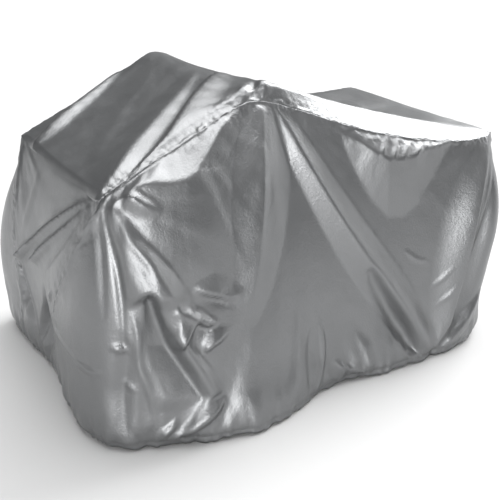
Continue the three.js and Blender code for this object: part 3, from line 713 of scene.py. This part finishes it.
def hem_shape(points):
    """The cloth bellies out over the gathered hem, and the hem itself rises and dips."""
    x, y, z = points[..., 0], points[..., 1], points[..., 2]
    out = np.stack([(x / HALF_LENGTH) ** 3, (y / HALF_WIDTH) ** 3], axis=-1)
    out /= np.linalg.norm(out, axis=-1, keepdims=True)
    f = np.clip((z - HEM_HEIGHT) / (BULGE_TOP - HEM_HEIGHT), 0, 1)
    belly = BULGE * np.sin(np.pi * np.sqrt(f)) ** 2
    turn = np.arctan2(y, x)
    wave = HEM_WAVE * sum(share * np.sin(times * turn + start) for times, start, share in HEM_WAVES)
    return np.stack([x + belly * out[..., 0], y + belly * out[..., 1], z + wave * (1 - f) ** 4], axis=-1)


def direction(points):
    """The direction across a grid of points, at each of them."""
    across = np.cross(np.gradient(points, axis=0), np.gradient(points, axis=1))
    return across / np.maximum(np.linalg.norm(across, axis=-1, keepdims=True), 1e-9)


def folded(plain, along, across, height, outward):
    """A plain form moved along its own outward direction by the folds that cross it."""
    run = plain(along + FACING_STEP, across) - plain(along - FACING_STEP, across)
    drop = plain(along, across + FACING_STEP) - plain(along, across - FACING_STEP)
    facing = np.cross(run, drop)
    facing *= outward / np.linalg.norm(facing, axis=-1, keepdims=True)
    points = plain(along, across)
    return hem_shape(points + facing * height(points)[..., None])


def side_form(side, station, level):
    """A side panel with its main folds and its creases."""
    shares = [(smooth(station / along) * smooth((LAST - station) / along))[:, None] * smooth(level / down)
              for along, down in (SIDE_FOLDS_WHOLE, SIDE_CREASES_WHOLE)]

    def height(points):
        x, z = points[..., 0], points[..., 2]
        held = HELD_BY_HEM + (1 - HELD_BY_HEM) * smooth(z / FREE_OF_HEM)
        return held * relief(side, x, z, *shares)

    return folded(lambda u, v: plain_side(side, u, v), station, level, height,
                  -1 if side == "near" else 1)


def centre_form(along, across):
    """The centre panel with its main folds and its creases."""
    inward = np.minimum(across, SPANS_ACROSS - across)
    shares = [smooth(inward / whole)[None, :] for whole in (CENTRE_FOLDS_WHOLE, CENTRE_CREASES_WHOLE)]
    front, rear = along < LEVELS, along > TOP_ROWS
    parts = ((front, "front", 1, 2), (rear, "rear", 1, 2), (~(front | rear), "roof", 0, 1))

    def height(points):
        total = np.zeros(points.shape[:-1])
        for rows, group, a, b in parts:
            spot = points[rows]
            total[rows] = relief(group, spot[..., a], spot[..., b], *shares)
        return total

    return folded(plain_centre, along, across, height, 1)


def reach_along(points, axis):
    """How far each point of a grid is along its row or column, in millimetres."""
    steps = np.linalg.norm(np.diff(points, axis=axis), axis=-1)
    start = np.zeros_like(np.take(steps, [0], axis=axis))
    return np.cumsum(np.concatenate([start, steps], axis=axis), axis=axis)


def gathers(s, d, seed):
    """The gathers of a sewn seam, at s along it and d from it."""
    total = np.zeros(np.broadcast(s, d).shape)
    for k, (pitch, height, whole, gone) in enumerate(SEAM_GATHERS):
        spot = np.stack(np.broadcast_arrays(s / pitch, d / (pitch * GATHER_RUN), GATHER_SLICE), axis=-1)
        uneven = GATHER_LEAST + (1 - GATHER_LEAST) * smooth(0.5 + noise(spot * GATHER_CHANGE, seed + 9))
        swell = smooth(d / whole) * fading(d, whole, gone)
        total += height * swell * uneven * noise(spot, seed + k)
    return total


def hem_detail(points):
    """Gathers over the elastic hem, and the stitched casing that the elastic runs in."""
    z = points[..., 2]
    total = bumps(HEM_CASING, z)
    for k, (pitch, height, low, high) in enumerate(HEM_GATHERS):
        spot = points / (pitch, pitch, pitch * HEM_GATHER_RUN)
        total += height * fading(z, low, high) * noise(spot, HEM_SEED + k)
    return total


def crumple(points, seed):
    """The small sharp creases of a crisp coated cloth, denser in some places than in others."""
    patches = smooth(0.5 + CRUMPLE_PATCH_EDGE * noise(points / CRUMPLE_PATCH, seed))
    bent = points + CRUMPLE_BEND * drift(points / CRUMPLE_BEND_PITCH, seed + 1)
    total = np.zeros(points.shape[:-1])
    for k, (pitch, height) in enumerate(CRUMPLE, start=1):
        total += height * ridged(bent / (pitch, pitch, pitch * CRUMPLE_RUN), seed + 10 * k)
    return (CRUMPLE_LEAST + (1 - CRUMPLE_LEAST) * patches) * total


def edge_places(length, step):
    """Places from 0 to length: fine beside both edges and a step apart between them."""
    fine = np.array(FINE_EDGE, float)
    count = max(2, round((length - 2 * fine[-1]) / step))
    middle = np.linspace(fine[-1], length - fine[-1], count + 1)[1:-1]
    return np.concatenate([fine, middle, (length - fine)[::-1]])


# Where the grid lines of the sheets run, in knots. Neighbours share them along a seam
SEAM_RUN = reach_along(SIDE_KNOTS["near"][:, 1:2], 0)[:, 0]
STATIONS = np.interp(edge_places(TOP_RUN, STEP_ALONG) / TOP_RUN * SEAM_RUN[-1], SEAM_RUN,
                     np.arange(LAST + 1))
DEPTHS = np.concatenate([
    np.array(FINE_EDGE, float),
    np.linspace(FINE_EDGE[-1], DROP - HEM_BAND, DROP_ROWS)[1:],
    np.linspace(DROP - HEM_BAND, DROP, HEM_ROWS)[1:],
]) / DROP * LEVELS
ALONG = np.concatenate([LEVELS - DEPTHS[::-1], LEVELS + STATIONS[1:-1], TOP_ROWS + DEPTHS])
ACROSS = edge_places(ROOF_RUN, STEP_ACROSS) / ROOF_RUN * SPANS_ACROSS


def panel_form(name):
    """A panel's outer face as a grid of points, and the outward direction at each."""
    if name == "centre":
        points = centre_form(ALONG, ACROSS)
        return points, direction(points)
    points = side_form(name, STATIONS, DEPTHS)
    facing = direction(points)
    return points, -facing if name == "near" else facing


def seam_places():
    """A side's grid places along its seam, from the front hem over the top to the rear hem."""
    depths, last = len(DEPTHS), len(STATIONS) - 1
    front = [(0, j) for j in reversed(range(depths))]
    top = [(i, 0) for i in range(1, last)]
    return np.array([*front, *top, *((last, j) for j in range(depths))])


def join_seam(side, centre, column):
    """Gives both edges of a seam one place and one outward direction, evened out along it. Returns how
    far along the seam each place is."""
    i, j = seam_places().T
    side_points, side_facing = side
    centre_points, centre_facing = centre
    shared = side_facing[i, j] + centre_facing[:, column]
    evened = shared.copy()
    for shift in range(1, SEAM_EVENED + 1):
        evened[shift:] += shared[:-shift]
        evened[:-shift] += shared[shift:]
    evened /= np.linalg.norm(evened, axis=-1, keepdims=True)
    middle = (side_points[i, j] + centre_points[:, column]) / 2
    side_facing[i, j] = centre_facing[:, column] = evened
    side_points[i, j] = centre_points[:, column] = middle
    return reach_along(middle[:, None], 0)[:, 0]


def seam_wander(points, d):
    """A gathered seam doesn't run true: both of its edges wander together."""
    spot = points / WANDER_PITCH
    both = drift(spot, WANDER_SEED) + drift(spot / WANDER_SLOWER, WANDER_SEED + 3)
    return fading(d, 0, WANDER_REACH)[..., None] * WANDER * both


def dress(form, seams, strength, small, crumpled, hem_start, sizes):
    """Adds the gathers of its seams, its small folds, its crumple and the hem's detail to a panel. A
    seam is told as how far along it and from it each point is, and its seed."""
    points, facing = form
    detail = strength * sum(gathers(along, away, seed) for along, away, seed in seams)
    nearest = np.minimum.reduce([away for _, away, _ in seams])
    detail += bumps(SEAM_LINE, nearest)
    detail += smooth(nearest / FREE_OF_SEAM) * (small + sizes.crumple * crumple(points, crumpled))
    detail += smooth(hem_start / CASING_START) * sizes.hem_gathers * hem_detail(points)
    return points + seam_wander(points, nearest) + facing * detail[..., None]


def dress_side(name, form, s, sizes):
    """Adds the fine work to a side panel, whose seam runs up the front corner, over the shoulder and
    down the rear corner."""
    points = form[0]
    top, front = reach_along(points, 1), reach_along(points, 0)
    rear = front[-1:] - front
    depths, seed = len(DEPTHS), SEAM_SEEDS[name]
    shoulder = s[depths - 1:len(s) - depths + 1]
    seams = ((shoulder[:, None], top, seed), (s[depths - 1::-1][None, :], front, seed),
             (s[-depths:][None, :], rear, seed))
    return dress(form, seams, sizes.seam_gathers, peak_folds(name, points[..., 0], points[..., 2]),
                 CRUMPLE_SEEDS[name], np.minimum(front, rear), sizes)


def dress_centre(form, near_s, far_s, sizes):
    """Adds the fine work to the centre panel, between its two seams."""
    points = form[0]
    x, y, z = points[..., 0], points[..., 1], points[..., 2]
    left = reach_along(points, 1)
    right = left[:, -1:] - left
    seams = ((near_s[:, None], left, SEAM_SEEDS["near"]), (far_s[:, None], right, SEAM_SEEDS["far"]))
    on_front = smooth((LEVELS + END_BLEND - ALONG) / (2 * END_BLEND))[:, None]
    on_rear = smooth((ALONG - TOP_ROWS + END_BLEND) / (2 * END_BLEND))[:, None]
    small = (on_front * peak_folds("front", y, z) + on_rear * peak_folds("rear", y, z)
             + (1 - on_front - on_rear) * peak_folds("roof", x, y))
    return dress(form, seams, CENTRE_GATHERS * sizes.seam_gathers, small, CRUMPLE_SEEDS["centre"],
                 np.minimum(left, right), sizes)


def cloth_mesh(name, points, outward, thickness):
    """A closed sheet: the outer face, the inner face a thickness below it, and the rim."""
    rows, columns = points.shape[:2]
    facing = direction(points) * outward
    count = rows * columns
    vertices = np.concatenate([points.reshape(-1, 3), (points - thickness * facing).reshape(-1, 3)])
    grid = np.arange(count).reshape(rows, columns)
    a, b, c, d = grid[:-1, :-1], grid[1:, :-1], grid[1:, 1:], grid[:-1, 1:]
    outer = np.stack([a, b, c, d], axis=-1).reshape(-1, 4)
    inner = np.stack([a, d, c, b], axis=-1).reshape(-1, 4) + count
    loop = np.concatenate([grid[:, 0], grid[-1, 1:], grid[-2::-1, -1], grid[0, -2:0:-1]])
    after = np.roll(loop, -1)
    rim = np.stack([after, loop, loop + count, after + count], axis=-1)
    faces = np.concatenate([outer, inner, rim])
    if outward < 0:
        faces = faces[:, ::-1]
    mesh = bpy.data.meshes.new(name)
    mesh.from_pydata(vertices * MM, [], faces, shade_flat=False)
    mesh.validate()
    return mesh


def place(name, mesh, material):
    """Puts a mesh in the scene as an object with one material."""
    thing = bpy.data.objects.new(name, mesh)
    mesh.materials.append(material)
    bpy.context.scene.collection.objects.link(thing)
    return thing


def add_node(tree, kind, settings=None, **inputs):
    """Adds a node. A setting is a property of it, and an input is a value or another node's output."""
    node = tree.nodes.new(kind)
    for key, value in (settings or {}).items():
        setattr(node, key, value)
    for key, value in inputs.items():
        socket = node.inputs[key.replace("_", " ")]
        if isinstance(value, bpy.types.NodeSocket):
            tree.links.new(value, socket)
        else:
            socket.default_value = value
    return node


def new_material(name):
    """An empty node material, and its tree."""
    material = bpy.data.materials.new(name)
    material.use_nodes = True
    material.node_tree.nodes.clear()
    return material, material.node_tree


def silver_taffeta(colour):
    """Polyester taffeta with an aluminium coating: a soft metallic sheen on a crisp, finely creased
    cloth, a little uneven where the coating is rubbed."""
    material, tree = new_material("silver_coated_taffeta")
    where = add_node(tree, "ShaderNodeTexCoord").outputs["Object"]
    # Bends too small for the mesh, some 7 mm apart
    bends = add_node(tree, "ShaderNodeTexNoise", {"noise_dimensions": "3D"}, Vector=where,
                     Scale=1 / (7 * MM), Detail=3.0, Roughness=0.55, Distortion=0.6)
    # Sharp creases too small for the mesh, some 26 mm apart
    folds = add_node(tree, "ShaderNodeTexVoronoi", {"feature": "DISTANCE_TO_EDGE"}, Vector=where,
                     Scale=1 / (26 * MM), Randomness=1.0)
    edge = add_node(tree, "ShaderNodeMapRange", Value=folds.outputs["Distance"],
                    From_Min=0.0, From_Max=0.22, To_Min=1.0, To_Max=0.0)
    bump_folds = add_node(tree, "ShaderNodeBump", Strength=0.05, Distance=2 * MM,
                          Height=edge.outputs[0])
    bump_bends = add_node(tree, "ShaderNodeBump", Strength=0.6, Distance=1.5 * MM,
                          Height=bends.outputs["Fac"], Normal=bump_folds.outputs["Normal"])
    # The coating is rubbed in patches some 120 mm wide
    patches = add_node(tree, "ShaderNodeTexNoise", {"noise_dimensions": "3D"}, Vector=where,
                       Scale=1 / (120 * MM), Detail=4.0, Roughness=0.6)
    rub = add_node(tree, "ShaderNodeMapRange", Value=patches.outputs["Fac"],
                   From_Min=0.3, From_Max=0.7, To_Min=0.33, To_Max=0.42)
    shader = add_node(tree, "ShaderNodeBsdfPrincipled", Base_Color=(*colour, 1), Metallic=0.84,
                      Roughness=rub.outputs[0], IOR=1.5, Normal=bump_bends.outputs["Normal"])
    add_node(tree, "ShaderNodeOutputMaterial", Surface=shader.outputs[0])
    return material


def pale_floor(colour):
    """Matt painted board: an even pale floor."""
    material, tree = new_material("matt_painted_board")
    shader = add_node(tree, "ShaderNodeBsdfPrincipled", Base_Color=(*colour, 1), Roughness=0.9)
    add_node(tree, "ShaderNodeOutputMaterial", Surface=shader.outputs[0])
    return material


class CoverSizes(bpy.types.PropertyGroup):
    """The sizes of the cloth's fine work"""
    thickness: FloatProperty(name="Cloth thickness", description="How thick the coated cloth is shown",
                             default=0.0010, min=0.0002, max=0.003, unit="LENGTH")
    seam_gathers: FloatProperty(name="Seam gathers", description="How strongly the shoulder seams pucker",
                                default=1.0, min=0.0, max=2.0, subtype="FACTOR")
    hem_gathers: FloatProperty(name="Hem gathers", default=1.0, min=0.0, max=2.0, subtype="FACTOR",
                               description="How strongly the elastic draws in the hem")
    crumple: FloatProperty(name="Crumple", description="How creased the cloth is from its packing",
                           default=1.0, min=0.0, max=2.0, subtype="FACTOR")


class CoverColours(bpy.types.PropertyGroup):
    """The colours of the cover and of the stage"""
    cloth: FloatVectorProperty(name="Cloth", description="Colour of the silver coating", size=3,
                               subtype="COLOR", default=srgb("#7F8081"), min=0, max=1)
    floor: FloatVectorProperty(name="Floor", description="Colour of the floor", size=3,
                               subtype="COLOR", default=srgb("#BEBEBE"), min=0, max=1)


# The camera that the picture was taken with: where it stands, the way it faces over the floor, how
# far it looks down, its lens, and how near and how far it sees
CAMERA_PLACE = (-1.480, -2.528, 1.600)
CAMERA_RIGHT = (0.8625, -0.506)
CAMERA_PITCH = math.radians(23.2)
LENS_PIXELS = 751
FRAME_PIXELS = 500
SENSOR = 36.0
CAMERA_SIGHT = (0.05, 100)

# The lamps: name, the way to each from the cover, how wide it looks in degrees, and its strength
LAMPS = (
    ("overhead softbox", (0.20, 0.12, 0.97), 60, 3.7),
    ("rear softbox", (0.80, 0.25, 0.55), 38, 3.4),
    ("front softbox", (-0.45, -0.87, 0.19), 38, 2.5),
    ("side softbox", (0.95, -0.25, 0.16), 34, 0.4),
    ("corner softbox", (-0.80, -0.50, 0.33), 44, 0.75),
)
STUDIO_COLOUR = "#C8CACC"
STUDIO_STRENGTH = 0.28
# How far the floor runs to either side, in metres
FLOOR_REACH = 40


def add_camera():
    """The camera at the picture's own place and angle."""
    camera = bpy.data.cameras.new("camera")
    camera.sensor_width = SENSOR
    camera.lens = LENS_PIXELS / FRAME_PIXELS * SENSOR
    camera.clip_start, camera.clip_end = CAMERA_SIGHT
    right = Vector((*CAMERA_RIGHT, 0)).normalized()
    forward = Vector((-right.y, right.x, 0))
    look = forward * math.cos(CAMERA_PITCH) - Vector((0, 0, 1)) * math.sin(CAMERA_PITCH)
    up = right.cross(look)
    thing = bpy.data.objects.new("camera", camera)
    turn = Matrix((right, up, -look)).transposed().to_4x4()
    thing.matrix_world = Matrix.Translation(CAMERA_PLACE) @ turn
    bpy.context.scene.collection.objects.link(thing)
    bpy.context.scene.camera = thing


def add_lamp(name, way, width, strength):
    """A soft lamp that shines on the cover from one way."""
    lamp = bpy.data.lights.new(name, "SUN")
    lamp.angle = math.radians(width)
    lamp.energy = strength
    thing = bpy.data.objects.new(name, lamp)
    thing.matrix_world = Vector(way).to_track_quat("Z", "Y").to_matrix().to_4x4()
    bpy.context.scene.collection.objects.link(thing)


class COVER_OT_cloth(bpy.types.Operator):
    """Builds the three panels of the cover on the frame's own solids"""
    bl_idname = "cover.cloth"
    bl_label = "Cloth panels"

    def execute(self, context):
        sizes = context.scene.cover_sizes
        near, far, centre = panel_form("near"), panel_form("far"), panel_form("centre")
        near_s = join_seam(near, centre, 0)
        far_s = join_seam(far, centre, -1)
        taffeta = silver_taffeta(context.scene.cover_colours.cloth)
        sheets = (
            ("centre_cloth", "centre_panel", dress_centre(centre, near_s, far_s, sizes), 1, CENTRE_CUT),
            ("near_side_cloth", "near_side_panel", dress_side("near", near, near_s, sizes), -1, SIDE_CUT),
            ("far_side_cloth", "far_side_panel", dress_side("far", far, far_s, sizes), 1, SIDE_CUT),
        )
        for name, node, points, outward, (flat, area) in sheets:
            cloth = place(name, cloth_mesh(name, points, outward, sizes.thickness / MM), taffeta)
            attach(cloth, "root")
            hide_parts(node)
        return {"FINISHED"}


class COVER_OT_stage(bpy.types.Operator):
    """Adds the floor, the lamps and the camera"""
    bl_idname = "cover.stage"
    bl_label = "Stage"

    def execute(self, context):
        scene = context.scene
        mesh = bpy.data.meshes.new("floor")
        corners = ((-1, -1), (1, -1), (1, 1), (-1, 1))
        mesh.from_pydata([(x * FLOOR_REACH, y * FLOOR_REACH, 0) for x, y in corners], [], [(0, 1, 2, 3)])
        floor = place("floor", mesh, pale_floor(scene.cover_colours.floor))
        for lamp in LAMPS:
            add_lamp(*lamp)
        world = bpy.data.worlds.new("studio")
        world.use_nodes = True
        background = world.node_tree.nodes["Background"].inputs
        background["Color"].default_value = (*srgb(STUDIO_COLOUR), 1)
        background["Strength"].default_value = STUDIO_STRENGTH
        scene.world = world
        scene.view_settings.view_transform = "Standard"
        add_camera()
        return {"FINISHED"}


class COVER_PT_panel(bpy.types.Panel):
    """The cover's sizes, colours and building steps"""
    bl_idname = "COVER_PT_panel"
    bl_label = "Vehicle cover"
    bl_space_type = "VIEW_3D"
    bl_region_type = "UI"
    bl_category = "Cover"

    def draw(self, context):
        layout = self.layout
        for group in (context.scene.cover_sizes, context.scene.cover_colours):
            for name in group.__annotations__:
                layout.prop(group, name)
        for operator in STEPS:
            layout.operator(operator.bl_idname)


STEPS = (COVER_OT_cloth, COVER_OT_stage)
CLASSES = (CoverSizes, CoverColours, *STEPS, COVER_PT_panel)


def register():
    for cls in CLASSES:
        bpy.utils.register_class(cls)
    bpy.types.Scene.cover_sizes = PointerProperty(type=CoverSizes)
    bpy.types.Scene.cover_colours = PointerProperty(type=CoverColours)


def unregister():
    del bpy.types.Scene.cover_colours
    del bpy.types.Scene.cover_sizes
    for cls in reversed(CLASSES):
        bpy.utils.unregister_class(cls)


def main():
    register()
    bpy.ops.cover.cloth()
    bpy.ops.cover.stage()


if __name__ == "__main__":
    main()
